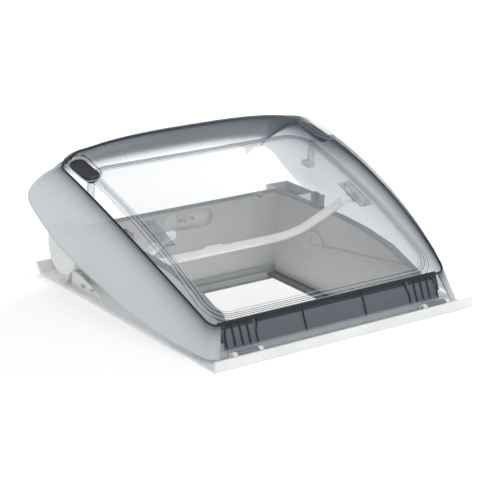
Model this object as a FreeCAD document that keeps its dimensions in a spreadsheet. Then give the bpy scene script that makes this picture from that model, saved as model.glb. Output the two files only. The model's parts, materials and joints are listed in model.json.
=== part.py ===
"""Roof and deck hatch with a tinted dome, a bow handle and two pleated blinds.

Origin: centre of the flange's underside, which lies on the roof or deck.
+X runs along the hinge edge, +Y from the hinge to the opening edge, +Z up.
All lengths are in millimetres. The dome is stored slightly open, as when airing.
"""
import FreeCAD, Part
import Sketcher
import math
import os

from FreeCAD import Placement, Rotation, Vector

X_AXIS = Vector(1, 0, 0)
Y_AXIS = Vector(0, 1, 0)
Z_AXIS = Vector(0, 0, 1)
SIDES = (("left", -1), ("right", 1))

DIMENSIONS = (
    # frame on the roof
    ("flange_size", 480.0),
    ("flange_thick", 3.0),
    ("fence_high", 15.5),
    ("fence_thick", 3.5),
    ("rear_fence_lean", 12.0),
    ("rim_high", 1.5),
    ("collar_outer", 380.0),
    ("collar_top", 84.5),
    ("well_size", 353.2),
    ("spigot_size", 392.0),
    ("spigot_depth", 30.0),
    ("neck_gap_size", 360.6),
    ("neck_top", -3.4),
    ("trim_thick", 2.0),
    ("seal_inner", 404.0),
    ("seal_outer", 436.0),
    ("seal_thick", 1.5),
    # interior frame and blinds
    ("ceiling_level", -34.0),
    ("inner_frame_size", 444.0),
    ("inner_frame_low", -66.0),
    ("neck_size", 359.6),
    ("frame_wall", 3.0),
    ("rail_width", 5.0),
    ("screen_level", -61.0),
    ("shade_level", -51.5),
    ("blind_high", 8.0),
    ("blind_parked", 6.0),
    ("bar_width", 7.0),
    # hinge
    ("hinge_back", -226.0),
    ("hinge_up", 11.0),
    ("rest_open", 6.5),
    ("knuckle_rad", 6.0),
    ("pin_rad", 2.5),
    ("pin_play", 0.06),
    ("hinge_inner", 150.0),
    ("hinge_outer", 202.0),
    # dome
    ("shell_wall", 3.2),
    ("crease_front_back", 34.0),
    ("crease_front_up", 36.5),
    ("crease_rear_back", 419.0),
    ("crease_rear_up", 137.0),
    ("crease_arc_rad", 1150.0),
    ("crown_high", 36.0),
    ("pane_half", 204.0),
    ("pane_drop", 5.5),
    ("pane_thick", 3.0),
    ("cap_long", 66.0),
    ("cap_wide", 27.0),
    # bow handle
    ("bow_pivot_back", 224.4),
    ("bow_pivot_up", 86.0),
    ("bow_angle", -43.5),
    ("bow_long", 146.0),
    ("bow_wide", 20.0),
    ("bow_thick", 13.0),
    ("bow_pin_rad", 3.0),
)

doc = FreeCAD.newDocument("Hatch")
sheet = doc.addObject("Spreadsheet::Sheet", "Dims")
for row, (alias, value) in enumerate(DIMENSIONS, start=1):
    sheet.set(f"A{row}", alias)
    sheet.set(f"B{row}", str(value))
    sheet.setAlias(f"B{row}", alias)
doc.recompute()
size = {alias: float(getattr(sheet, alias)) for alias, _ in DIMENSIONS}
nodes = {}


# ---------------------------------------------------------------- frames of reference
def turned(angle, back, up):
    """A frame turned about X by an angle in degrees, with its origin at (0, back, up)."""
    return Placement(Vector(0, back, up), Rotation(X_AXIS, angle))


WORLD = Placement()
DOME = turned(size["rest_open"], size["hinge_back"], size["hinge_up"])
BOW = DOME.multiply(turned(size["bow_angle"], size["bow_pivot_back"], size["bow_pivot_up"]))


# ---------------------------------------------------------------- small building tools
def bind(thing, **expressions):
    """Bind properties of an object to expressions of the sheet's cells."""
    for name, expression in expressions.items():
        thing.setExpression(name, expression)


def node(name, thing, frame=WORLD):
    """Register a finished object as the sub-part of that name, in its frame of reference."""
    thing.Label = name
    thing.Placement = frame
    nodes[name] = thing
    return thing


def feature(name, shape, frame=WORLD):
    """A sub-part whose shape is made by Part's own functions, in its frame of reference."""
    made = doc.addObject("Part::Feature", name)
    made.Shape = shape
    return node(name, made, frame)


def block(low, high):
    """A box between two corners, each an (x, y, z)."""
    spans = [b - a for a, b in zip(low, high)]
    return Part.makeBox(*spans, Vector(*low))


def rod(radius, length, start, along):
    """A round rod from a start point along a direction."""
    return Part.makeCylinder(radius, length, Vector(*start), along)


def prism(points, thickness, offset, plane="yz"):
    """A flat outline pushed along the plane's normal, from the given offset."""
    place = {
        "yz": (lambda u, v: Vector(offset, u, v), X_AXIS),
        "xz": (lambda u, v: Vector(u, offset, v), Y_AXIS),
        "xy": (lambda u, v: Vector(u, v, offset), Z_AXIS),
    }[plane]
    corners = [place[0](u, v) for u, v in points]
    face = Part.Face(Part.makePolygon(corners + corners[:1]))
    return face.extrude(place[1] * thickness)


def square_ring(outer, inner, low, high):
    """A square tube about Z: outer and inner sizes, between two heights."""
    o, i = outer / 2, inner / 2
    return block((-o, -o, low), (o, o, high)).cut(block((-i, -i, low - 1), (i, i, high + 1)))


def mirrored(shape):
    return shape.mirror(Vector(0, 0, 0), X_AXIS)


def for_side(shape, sign):
    """A shape drawn on the right, kept or mirrored to the left."""
    return shape if sign > 0 else mirrored(shape)


def joined(shapes):
    first, *others = shapes
    return first.fuse(others).removeSplitter() if others else first


def group(shapes):
    """Separate solids that share one node."""
    return Part.makeCompound(shapes)


def screw(at, along, head_radius=4.0, head_high=2.6, shank_radius=1.9, shank_long=12.0):
    """A pan-head screw: `at` is under its head, `along` points out of the head."""
    head = rod(head_radius, head_high, at, along)
    shank_start = Vector(*at) - along * shank_long
    shank = rod(shank_radius, shank_long, shank_start, along)
    slot_depth = 1.2
    slot_width = 1.2
    across = Y_AXIS if abs(along.dot(Y_AXIS)) < 0.5 else X_AXIS
    other = along.cross(across)
    corner = (
        Vector(*at) + along * (head_high - slot_depth)
        - across * head_radius - other * slot_width / 2
    )
    slot = Part.makeBox(2 * head_radius, slot_width, 2 * slot_depth)
    slot.Placement = Placement(corner, Rotation(across, other, along, "ZXY"))
    return head.fuse(shank).cut(slot).removeSplitter()


# ---------------------------------------------------------------- PartDesign tools
def new_body(name):
    return doc.addObject("PartDesign::Body", name)


def origin_plane(body, role):
    return next(f for f in body.Origin.OriginFeatures if f.Role == role)


def sketch_on(body, name, role="XY_Plane", level=None):
    """A sketch on one of the body's own planes, lifted to a level given as an expression."""
    sketch = body.newObject("Sketcher::SketchObject", name)
    sketch.AttachmentSupport = [(origin_plane(body, role), "")]
    sketch.MapMode = "FlatFace"
    if level is not None:
        sketch.setExpression("AttachmentOffset.Base.z", level)
    return sketch


def add_square(sketch, name, side):
    """A square centred on the sketch's origin, its side bound to an expression."""
    half = 100.0
    corners = [(-half, -half), (half, -half), (half, half), (-half, half)]
    first = sketch.GeometryCount
    for a, b in zip(corners, corners[1:] + corners[:1]):
        sketch.addGeometry(Part.LineSegment(Vector(*a, 0), Vector(*b, 0)), False)
    for k in range(4):
        sketch.addConstraint(
            Sketcher.Constraint("Coincident", first + k, 2, first + (k + 1) % 4, 1))
    for k, kind in enumerate(("Horizontal", "Vertical", "Horizontal", "Vertical")):
        sketch.addConstraint(Sketcher.Constraint(kind, first + k))
    sketch.addConstraint(Sketcher.Constraint("Symmetric", first, 1, first + 1, 2, -1, 1))
    for k, axis in ((0, "x"), (1, "y")):
        index = sketch.addConstraint(Sketcher.Constraint("Distance", first + k, 2 * half))
        label = f"{name}_{axis}"
        sketch.renameConstraint(index, label)
        sketch.setExpression(f"Constraints.{label}", side)


def pad(body, sketch, length, reverse=False, both_ways=False):
    made = body.newObject("PartDesign::Pad", f"{sketch.Name}_pad")
    made.Profile = sketch
    made.Reversed = reverse
    made.Midplane = both_ways
    made.setExpression("Length", length)
    doc.recompute()
    return made


def pocket(body, sketch, length, reverse=False, both_ways=False):
    """A pocket that has to take something away."""
    before = body.Shape.Volume
    made = body.newObject("PartDesign::Pocket", f"{sketch.Name}_pocket")
    made.Profile = sketch
    made.Reversed = reverse
    made.Midplane = both_ways
    made.setExpression("Length", length)
    doc.recompute()
    if body.Shape.Volume > before - 0.01:
        raise RuntimeError(f"{sketch.Name} cuts nothing")
    return made


# ---------------------------------------------------------------- frame on the roof
COLLAR_SLOPE = ((10.0, 84.5), (-50.0, 80.0), (-110.0, 69.5), (-150.0, 54.5), (-190.0, 37.5))


RIM_START = -130.0


def collar_profile(lift=0.0):
    """The collar's top edge seen from the side: level at the rear, falling to the front."""
    rear = [(size["collar_outer"] / 2, size["collar_top"] + lift)]
    return rear + [(back, up + lift) for back, up in COLLAR_SLOPE]


def make_outer_frame():
    body = new_body("outer_frame_base")
    plate = sketch_on(body, "flange_outline")
    add_square(plate, "side", "Dims.flange_size")
    pad(body, plate, "Dims.flange_thick")
    wall = sketch_on(body, "collar_outline")
    add_square(wall, "side", "Dims.collar_outer")
    pad(body, wall, "Dims.collar_top")
    spigot = sketch_on(body, "spigot_outline")
    add_square(spigot, "side", "Dims.spigot_size")
    pad(body, spigot, "Dims.spigot_depth", reverse=True)
    well = sketch_on(body, "well_outline", level="-Dims.spigot_depth - 1")
    add_square(well, "side", "Dims.well_size")
    pocket(body, well, "Dims.collar_top + Dims.spigot_depth + 2", reverse=True)
    neck = sketch_on(body, "neck_outline", level="Dims.neck_top")
    add_square(neck, "side", "Dims.neck_gap_size")
    pocket(body, neck, "Dims.spigot_depth")
    groove = sketch_on(body, "seal_groove")
    add_square(groove, "outer", "Dims.seal_outer")
    add_square(groove, "inner", "Dims.seal_inner")
    pocket(body, groove, "Dims.seal_thick", reverse=True)
    doc.recompute()
    base = body.Shape.copy()

    half = size["flange_size"] / 2
    thick = size["flange_thick"]
    high = size["fence_high"]
    fence = size["fence_thick"]
    lean = size["rear_fence_lean"]
    front_fence = block((-half, -half, thick), (half, -half + fence, high))
    rear_fence = prism(
        [(half - fence, thick), (half, thick), (half + lean, high + 1.5),
         (half + lean - fence, high + 1.5)], 2 * half, -half)
    rims = [
        block((side * half - (1.6 if side > 0 else 0), RIM_START, thick),
              (side * half + (0 if side > 0 else 1.6), half - fence, thick + size["rim_high"]))
        for side in (-1, 1)
    ]
    shape = base.fuse([front_fence, rear_fence] + rims)
    above = collar_profile() + [(-half, COLLAR_SLOPE[-1][1]), (-half, 200.0), (half, 200.0),
                    (half, size["collar_top"])]
    shape = shape.cut(prism(above, 2 * half, -half))
    shape = shape.cut(finger_recess())
    shape = shape.cut(group(frame_screw_holes() + clamp_screw_holes()))
    return feature("outer_frame", shape.removeSplitter())


RECESS_HALF = 48.0
RECESS_LOW = 50.0
RECESS_HIGH = 80.0
RECESS_DEEP = 9.0


def oval_prism(half_long, radius, centre, deep, along):
    """A slot-shaped block in the XZ plane, with round ends, pushed along Y."""
    x, y, z = centre
    bar = block((x - half_long + radius, y, z - radius), (x + half_long - radius, y + deep, z + radius))
    ends = [rod(radius, deep, (x + s * (half_long - radius), y, z), along) for s in (-1, 1)]
    return joined([bar] + ends)


def finger_recess():
    """The oval hollow in the rear wall, where fingers reach behind the bow."""
    half_well = size["well_size"] / 2
    radius = (RECESS_HIGH - RECESS_LOW) / 2
    middle = (RECESS_HIGH + RECESS_LOW) / 2
    return oval_prism(RECESS_HALF, radius, (0, half_well - 1, middle), RECESS_DEEP + 1, Y_AXIS)


FIX_HOLE = 222.0
FIX_HOLE_RADIUS = 2.25


def frame_screw_holes():
    """Four holes through the flange's corners for the screws into the roof."""
    return [
        rod(FIX_HOLE_RADIUS, 20.0, (sx * FIX_HOLE, sy * FIX_HOLE, -5.0), Z_AXIS)
        for sx in (-1, 1) for sy in (-1, 1)
    ]


CLAMP_SPOTS = (-120.0, 120.0)
CLAMP_SCREW_LEVEL = -16.0


def clamp_places():
    """Two places on each side of the spigot, as turns of the one on the right."""
    places = []
    for quarter in range(4):
        spun = Placement(Vector(0, 0, 0), Rotation(Z_AXIS, 90 * quarter))
        for spot in CLAMP_SPOTS:
            places.append(spun.multiply(Placement(Vector(0, spot, 0), Rotation())))
    return places


def clamp_screw_holes():
    """Blind holes in the spigot for the clamp clips' screws."""
    half = size["spigot_size"] / 2
    hole = rod(2.0, 4.0, (half - 3.0, 0, CLAMP_SCREW_LEVEL), X_AXIS)
    return [hole.transformed(place.Matrix) for place in clamp_places()]


def make_roof_seal():
    ring = square_ring(size["seal_outer"] - 1, size["seal_inner"] + 1, 0.0, size["seal_thick"])
    feature("roof_seal", ring)


POST_FRONT = 63.0
POST_REAR = 86.0
POST_TOP = 107.0
POST_INNER = 178.5
POST_OUTER = 188.5


def make_collar_trim():
    """The rubber edging that sits on the collar's top edge."""
    lower = collar_profile()
    upper = collar_profile(size["trim_thick"])
    outer = size["collar_outer"] / 2
    strip = prism(lower + upper[::-1], 2 * outer, -outer)
    inside = size["well_size"] / 2 + 0.8
    strip = strip.cut(block((-inside, -inside, 0), (inside, inside, 200)))
    play = 0.5
    for sign in (-1, 1):
        edges = sorted((sign * (POST_INNER - play), sign * (POST_OUTER + play)))
        strip = strip.cut(block((edges[0] - 3, POST_FRONT - play, 60),
                                (edges[1] + 3, POST_REAR + play, 120)))
    feature("collar_trim", strip)


def make_catch_posts():
    """Posts on the collar's sides that catch the bow's legs, each held by a screw."""
    screws = []
    for side, sign in SIDES:
        top = size["collar_top"]
        post = block((POST_INNER, POST_FRONT, top), (POST_OUTER, POST_REAR, POST_TOP))
        notch = block((POST_INNER - 1, POST_FRONT + 6, POST_TOP - 9),
                      (POST_OUTER + 1, POST_REAR - 11, POST_TOP + 1))
        hole = rod(2.0, 30.0, ((POST_INNER + POST_OUTER) / 2, POST_REAR - 5.5, top - 1), Z_AXIS)
        feature(f"catch_post_{side}", for_side(post.cut(notch).cut(hole), sign))
        at = (sign * (POST_INNER + POST_OUTER) / 2, POST_REAR - 5.5, POST_TOP)
        screws.append(screw(at, Z_AXIS, 3.4, 2.0, 1.95, POST_TOP - top - 0.2))
    feature("post_screws", group(screws))


GUIDE_EDGE = ((76.0, 21.0), (4.0, 32.5), (-46.0, 38.0), (-94.0, 45.0), (-150.0, 54.0))


def make_bow_guides():
    """Ledges on the side walls, each ending in a half-round pocket for the bow's elbow."""
    wall = size["well_size"] / 2
    for side, sign in SIDES:
        upper = list(GUIDE_EDGE)
        lower = [(back, up - 3.5) for back, up in upper]
        ledge = prism(upper + lower[::-1], 2.4, wall - 2.4)
        hook = prism([(-150, 50.5), (-150, 54), (-160, 52.5), (-170, 47.5), (-166, 45)],
                     2.4, wall - 2.4)
        boss = rod(19.0, 3.2, (wall - 3.2, 66.0, 26.0), X_AXIS)
        boss = boss.cut(rod(14.0, 3.0, (wall - 4.2, 66.0, 26.0), X_AXIS))
        boss = boss.common(block((wall - 8, 40, 22), (wall, 90, 60)))
        feature(f"bow_guide_{side}", for_side(joined([ledge, hook, boss]), sign))


KEEPER_INNER = 190.0
KEEPER_OUTER = 234.0
KEEPER_MIDDLE = 182.0
KEEPER_RADIUS = 40.0
KEEPER_TOP = 84.0


def keeper_outline(radius):
    """The keeper seen from the side: a round-bottomed cup."""
    low = 17.0 + KEEPER_RADIUS
    cup = rod(radius, KEEPER_OUTER - KEEPER_INNER, (KEEPER_INNER, KEEPER_MIDDLE, low), X_AXIS)
    throat = block((KEEPER_INNER, KEEPER_MIDDLE - radius, low),
                   (KEEPER_OUTER, KEEPER_MIDDLE + radius, KEEPER_TOP))
    return cup.common(block((0, 0, 0), (300, 300, low))).fuse(throat)


def make_latch_keepers():
    """Round cups outside the collar's rear corners, where the dome's latches drop in."""
    for side, sign in SIDES:
        outside = keeper_outline(KEEPER_RADIUS)
        inside = keeper_outline(KEEPER_RADIUS - 3.0)
        inside = inside.common(block((KEEPER_INNER + 3, 0, 0), (KEEPER_OUTER - 3, 300, 200)))
        inside = inside.fuse(block((KEEPER_INNER + 3, KEEPER_MIDDLE - KEEPER_RADIUS + 3, KEEPER_TOP - 2),
                                   (KEEPER_OUTER - 3, KEEPER_MIDDLE + KEEPER_RADIUS - 3,
                                    KEEPER_TOP + 5)))
        cup = outside.cut(inside)
        web = prism([(164, 22.5), (176, 17.5), (182, size["flange_thick"]),
                     (174, size["flange_thick"])], 4.0, 226.0)
        foot = block((KEEPER_INNER, 160.0, size["flange_thick"]), (196.0, 204.0, 30.0))
        vents = [
            prism([(y, 10.0), (y + 12, 8.0), (y + 12, 14.0), (y, 16.0)], 3.0, 226.0)
            for y in (96.0, 122.0)
        ]
        vent_plate = prism([(78, 3.0), (160, 3.0), (160, 30.0), (128, 23.5), (84, 10.0)],
                           3.0, 226.0)
        for vent in vents:
            vent_plate = vent_plate.cut(vent)
        parts = [cup, web, foot, vent_plate]
        feature(f"latch_keeper_{side}", for_side(joined(parts), sign))


def make_lock_catch():
    """The catch in the finger recess that holds the bow's bar when stowed."""
    back = size["well_size"] / 2 + RECESS_DEEP
    plate = block((-16, back - 2.0, 53), (16, back, 77))
    nose = prism([(back - 2, 70), (back - 11.5, 66), (back - 11.5, 63), (back - 2, 62)],
                 12.0, -6.0)
    holes = [rod(1.6, 4.0, (s * 12, back - 3, 65), Y_AXIS) for s in (-1, 1)]
    body = joined([plate, nose]).cut(group(holes))
    feature("lock_catch", body)
    screws = [screw((s * 12, back - 2.0, 65), -Y_AXIS, 2.8, 1.4, 1.5, 1.9) for s in (-1, 1)]
    feature("lock_catch_screws", group(screws))


# ---------------------------------------------------------------- hinges
def hinge_ear(x, wide):
    """A frame ear that carries the hinge pin."""
    back = size["hinge_back"]
    up = size["hinge_up"]
    radius = size["knuckle_rad"]
    eye = rod(radius, wide, (x, back, up), X_AXIS)
    foot = block((x, back - radius, size["flange_thick"]), (x + wide, back + radius, up))
    return eye.fuse(foot).cut(rod(size["pin_rad"], wide + 2, (x - 1, back, up), X_AXIS))


EAR_WIDE = 7.0
KNUCKLE_PLAY = 0.5


def make_hinges():
    """Two base brackets with two ears each, and their pins."""
    low = size["hinge_inner"]
    high = size["hinge_outer"]
    for side, sign in SIDES:
        ears = [hinge_ear(low, EAR_WIDE), hinge_ear(high - EAR_WIDE, EAR_WIDE)]
        feature(f"hinge_base_{side}", for_side(group(ears), sign))
        pin = doc.addObject("Part::Cylinder", f"hinge_pin_{side}")
        bind(pin, Radius="Dims.pin_rad", Height="Dims.hinge_outer - Dims.hinge_inner")
        start = Vector(low if sign > 0 else -high, size["hinge_back"], size["hinge_up"])
        node(f"hinge_pin_{side}", pin, Placement(start, Rotation(Y_AXIS, 90)))


# ---------------------------------------------------------------- interior frame and blinds
def make_inner_frame():
    """A trough-shaped trim frame under the ceiling, with a neck up into the spigot."""
    body = new_body("inner_frame_body")
    outline = sketch_on(body, "trim_outline", level="Dims.inner_frame_low")
    add_square(outline, "side", "Dims.inner_frame_size")
    pad(body, outline, "Dims.ceiling_level - Dims.inner_frame_low")
    neck = sketch_on(body, "neck_wall", level="Dims.inner_frame_low")
    add_square(neck, "side", "Dims.neck_size")
    pad(body, neck, "Dims.neck_top - 0.2 - Dims.inner_frame_low")
    well = sketch_on(body, "trim_well", level="Dims.inner_frame_low - 1")
    add_square(well, "side", "Dims.well_size")
    pocket(body, well, "Dims.neck_top - Dims.inner_frame_low + 2", reverse=True)
    trough = sketch_on(body, "trim_trough", level="Dims.inner_frame_low + Dims.frame_wall")
    add_square(trough, "outer", "Dims.inner_frame_size - 2 * Dims.frame_wall")
    add_square(trough, "inner", "Dims.neck_size")
    pocket(body, trough, "Dims.ceiling_level - Dims.inner_frame_low", reverse=True)
    node("inner_frame", body)


def make_blind_rails():
    """Toothed rails on the front and rear walls that guide both blinds' bars."""
    wall = size["well_size"] / 2
    deep = size["rail_width"]
    low = size["inner_frame_low"]
    fin = 1.3
    levels = (low, size["screen_level"] + size["blind_high"] + 0.1,
              size["shade_level"] + size["blind_high"] + 0.3)
    for name, sign in (("rail_front", -1), ("rail_rear", 1)):
        fins = [block((-wall, wall - deep, z), (wall, wall - 0.01, z + fin)) for z in levels]
        spine = block((-wall, wall - 1.2, low), (wall, wall - 0.01, levels[-1] + fin))
        rail = joined([spine] + fins)
        if sign < 0:
            rail = rail.mirror(Vector(0, 0, 0), Y_AXIS)
        feature(name, rail)


def blind_span():
    """Half the length of a blind, between the rails' spines."""
    return size["well_size"] / 2 - 1.8


def pleated_stack(inner, outer, level):
    """A parked stack of pleats, as a zigzag-edged closed solid between two x positions."""
    span = blind_span()
    high = size["blind_high"]
    folds = 4
    pitch = (outer - inner) / folds
    upper = []
    lower = []
    for k in range(folds):
        start = inner + k * pitch
        upper += [(start, level + high - 0.6), (start + pitch / 2, level + high)]
        lower += [(start, level), (start + pitch / 2, level + 0.6)]
    upper.append((outer, level + high - 0.6))
    lower.append((outer, level))
    return prism(upper + lower[::-1], 2 * span, -span, "xz")


def make_blind(name, sign, level):
    """A blind parked against a side wall: pleats next to the wall, then its pull bar."""
    wall = size["well_size"] / 2 - 0.4
    parked = size["blind_parked"]
    wide = size["bar_width"]
    span = blind_span()
    high = size["blind_high"]
    stack = pleated_stack(wall - parked, wall, level)
    feature(f"{name}_pleats", for_side(stack, sign))
    inner = wall - parked - wide
    bar = block((inner, -span, level), (wall - parked, span, level + high))
    groove = block((inner - 1, -span + 6, level + 2.6), (inner + 1.2, span - 6, level + high - 2.6))
    grip = block((inner - 5, -24, level + 2.2), (inner, 24, level + 4.4))
    bar = bar.cut(groove)
    feature(f"{name}_bar", for_side(bar, sign))
    grip = grip.fuse(block((inner, -24, level + 2.8), (inner + 1.2, 24, level + high - 2.8)))
    feature(f"{name}_grip", for_side(grip, sign))


def make_clamps():
    """Metal clips under the roof, screwed to the spigot, that pull the frame down."""
    spigot = size["spigot_size"] / 2
    level = size["ceiling_level"]
    clip = block((spigot, -14, level + 8), (spigot + 1.5, 14, -4))
    arm = block((spigot, -14, level + 8), (spigot + 12, 14, level + 9.5))
    hole = rod(2.0, 6.0, (spigot - 2, 0, CLAMP_SCREW_LEVEL), X_AXIS)
    clip = clip.fuse(arm).removeSplitter().cut(hole)
    bolt = screw((spigot + 1.5, 0, CLAMP_SCREW_LEVEL), X_AXIS, 3.6, 2.2, 1.95, 4.0)
    feature("clamp_clips", group([clip.transformed(p.Matrix) for p in clamp_places()]))
    feature("clamp_screws", group([bolt.transformed(p.Matrix) for p in clamp_places()]))


# ---------------------------------------------------------------- dome shape
def crease_up(back):
    """Height of the dome's crease above the hinge, on a shallow arc from front to rear."""
    y1, z1 = size["crease_front_back"], size["crease_front_up"]
    y2, z2 = size["crease_rear_back"], size["crease_rear_up"]
    radius = size["crease_arc_rad"]
    chord = math.hypot(y2 - y1, z2 - z1)
    drop = math.sqrt(radius ** 2 - (chord / 2) ** 2)
    middle_y = (y1 + y2) / 2 + (z2 - z1) / chord * drop
    middle_z = (z1 + z2) / 2 - (y2 - y1) / chord * drop
    return middle_z + math.sqrt(radius ** 2 - (back - middle_y) ** 2)


def crease_half(back):
    """Half the dome's width at the crease: it swells from front to rear."""
    widest, at = 245.0, 310.0
    if back > at:
        return widest - 3.0 * ((back - at) / 109.0) ** 2
    return widest - 25.5 * ((at - back) / 276.0) ** 2.2


def foot_half(back):
    """Half the dome's width at the skirt's foot."""
    return 248.5 - 10.5 * max(0.0, (170.0 - back) / 170.0) ** 2


def crown(back):
    """How far the dome's middle rises above its crease."""
    share = min(1.0, max(0.0, (back - 34.0) / 366.0))
    return 2.0 + (size["crown_high"] - 2.0) * (1 - (1 - share) ** 1.6)


# each station: how far back its crease is, how it leans, how far its corners draw in
STATIONS = (
    (30.0, 0.60, 15.0), (33.0, 0.58, 7.0), (42.0, 0.50, 1.5), (62.0, 0.34, 0.0),
    (110.0, 0.12, 0.0), (170.0, 0.0, 0.0), (240.0, -0.18, 0.0), (310.0, -0.42, 0.0),
    (370.0, -0.54, 0.0), (402.0, -0.56, 1.0), (420.0, -0.57, 6.5), (428.0, -0.58, 17.0),
)
REAR_EDGE = 428.0
FOOT_CUT = -26.0
CROWN_LEAN = 0.15
CROWN_FULLNESS = 3.0
REAR_BULGE = 50.0
BULGE_START = 250.0


def bulge(back, fall):
    """How far the skirt swells backwards part of the way down; fall runs from 0 to 1."""
    near_rear = min(1.0, max(0.0, (back - BULGE_START) / (REAR_EDGE - BULGE_START))) ** 2
    return REAR_BULGE * near_rear * math.sin(math.pi * fall)


def dome_section(back, lean, draw_in, inset):
    """One closed cross-section of the dome, drawn in by the wall's thickness."""
    rise = crease_up(min(max(back, 34.0), REAR_EDGE))
    top_half = crease_half(back) - draw_in - inset
    low_half = foot_half(back) - draw_in - inset
    swell = crown(back) - inset - draw_in * 0.35
    shoulder = min(16.0, 4.0 + 0.04 * back)
    lift = min(shoulder, swell)

    edge = rise - inset * 0.5

    def at(x, z):
        return Vector(x, back + lean * (edge - rise + CROWN_LEAN * (z - edge)), z)

    def side(sign):
        points = []
        for fall in (0.0, 0.15, 0.3, 0.5, 0.75, 1.0):
            x = top_half + (low_half - top_half) * fall
            z = edge + (FOOT_CUT - edge) * fall
            points.append(Vector(sign * x, back + lean * (z - rise) + bulge(back, fall), z))
        curve = Part.BSplineCurve()
        curve.interpolate(points)
        return curve, points[-1]

    outline = [
        (top_half, edge),
        (top_half - 0.08 * shoulder, edge + 0.45 * lift),
        (top_half - 0.60 * shoulder, edge + 0.85 * lift),
    ]
    flat = top_half - 0.60 * shoulder
    start = 0.85 * lift
    for share in (0.75, 0.45, 0.0):
        outline.append((flat * share, edge + start + (swell - start) * (1 - share ** CROWN_FULLNESS)))
    right = [at(x, z) for x, z in outline]
    left = [at(-x, z) for x, z in outline[-2::-1]]
    curve = Part.BSplineCurve()
    curve.interpolate(right + left)
    side_right, foot_right = side(1)
    side_left, foot_left = side(-1)
    foot = Part.LineSegment(foot_left, foot_right)
    return Part.Wire([part.toShape() for part in (foot, side_right, curve, side_left)])


def end_faces(wire):
    """Two faces that close the loft at a section: one under the crease and one over it."""
    _, side_right, crown_edge, side_left = wire.Edges
    ends = [vertex.Point for vertex in crown_edge.Vertexes]
    level = Part.LineSegment(*ends).toShape()
    return [Part.makeRuledSurface(side_left, side_right), Part.Face(Part.Wire([level, crown_edge]))]


def dome_solid(inset):
    """The dome's outer form, or its hollow when drawn in by an inset."""
    wires = []
    last = len(STATIONS) - 1
    for index, (back, lean, draw_in) in enumerate(STATIONS):
        shift = inset if index < 3 else (-inset if index > last - 3 else 0.0)
        wires.append(dome_section(back + shift, lean, draw_in, inset))
    skin = Part.makeLoft(wires, False, False)
    shell = Part.makeShell(skin.Faces + end_faces(wires[0]) + end_faces(wires[-1]))
    shell.sewShape()
    solid = Part.makeSolid(shell)
    if solid.Volume < 0:
        solid.reverse()
    return solid


FOOT_LINE = (
    (-20.0, -3.0), (12.0, -3.5), (76.0, -7.0), (134.0, -9.6), (185.0, -9.4), (236.0, -7.2),
    (279.0, -2.5), (325.0, 1.6), (367.0, 7.5), (416.0, 17.5), (460.0, 32.0), (500.0, 50.0),
    (530.0, 78.0), (560.0, 120.0),
)
ARCH_HALF = 196.0
ARCH_LOW = 44.0
ARCH_TOP = 92.0


def below_foot():
    """Everything under the skirt's swept-up foot line, and under the rear skirt's arch."""
    curve = Part.BSplineCurve()
    curve.interpolate([Vector(-300, y, z) for y, z in FOOT_LINE])
    last = FOOT_LINE[-1]
    first = FOOT_LINE[0]
    low = -60.0
    corners = [Vector(-300, last[0], last[1]), Vector(-300, last[0], low),
               Vector(-300, first[0], low), Vector(-300, first[0], first[1])]
    wire = Part.Wire([curve.toShape()] + Part.makePolygon(corners).Edges)
    under = Part.Face(wire).extrude(X_AXIS * 600)
    arch = Part.BSplineCurve()
    rise = ARCH_TOP - ARCH_LOW
    shares = (-1.0, -0.9, -0.65, -0.3, 0.0, 0.3, 0.65, 0.9, 1.0)
    points = [Vector(ARCH_HALF * s, 430, ARCH_LOW + rise * (1 - s ** 4) ** 0.5) for s in shares]
    arch.interpolate(points)
    base = Part.makePolygon([points[-1], Vector(ARCH_HALF, 430, low),
                             Vector(-ARCH_HALF, 430, low), points[0]])
    opening = Part.Face(Part.Wire([arch.toShape()] + base.Edges)).extrude(Y_AXIS * 120)
    return under, opening


def make_dome_shell():
    """The outer glazing: a crowned top with skirts all round, open below."""
    under, opening = below_foot()
    shell = dome_solid(0.0).cut(dome_solid(size["shell_wall"]))
    shell = shell.cut(under).cut(opening)
    for sign in (-1, 1):
        shell = shell.cut(cap_outline(sign, 0.4, 40.0, -20.0))
    feature("dome_shell", max(shell.Solids, key=lambda s: s.Volume), DOME)


# ---------------------------------------------------------------- parts on the dome
PANE_FRONT = 46.0
PANE_REAR = 398.0


def pane_level(back, drop):
    return crease_up(back) - drop


def curved_plate(half, front, rear, drop, thick, steps=8):
    """A plate that follows the crease's arc, level across its width."""
    backs = [front + (rear - front) * k / steps for k in range(steps + 1)]
    upper = Part.BSplineCurve()
    upper.interpolate([Vector(-half, b, pane_level(b, drop)) for b in backs])
    lower = Part.BSplineCurve()
    lower.interpolate([Vector(-half, b, pane_level(b, drop + thick)) for b in backs])
    ends = [
        Part.LineSegment(upper.value(upper.LastParameter), lower.value(lower.LastParameter)),
        Part.LineSegment(lower.value(lower.FirstParameter), upper.value(upper.FirstParameter)),
    ]
    wire = Part.Wire([upper.toShape(), ends[0].toShape(), lower.toShape(), ends[1].toShape()])
    return Part.Face(wire).extrude(X_AXIS * 2 * half)


def rounded_column(half, front, rear, radius):
    """A tall column with a rounded-rectangle plan, to trim a plate's corners."""
    length = rear - front
    column = Part.makeBox(2 * half, length, 400, Vector(-half, front, -100))
    uprights = [e for e in column.Edges if abs(e.tangentAt(e.FirstParameter).z) > 0.9]
    return column.makeFillet(radius, uprights)


def make_inner_pane():
    half = size["pane_half"]
    plate = curved_plate(half, PANE_FRONT, PANE_REAR, size["pane_drop"], size["pane_thick"])
    plate = plate.common(rounded_column(half, PANE_FRONT - 2, PANE_REAR + 2, 34.0))
    for sign in (-1, 1):
        plate = plate.cut(cap_outline(sign, 3.0, 60.0, -40.0))
    feature("inner_pane", plate, DOME)


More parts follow.
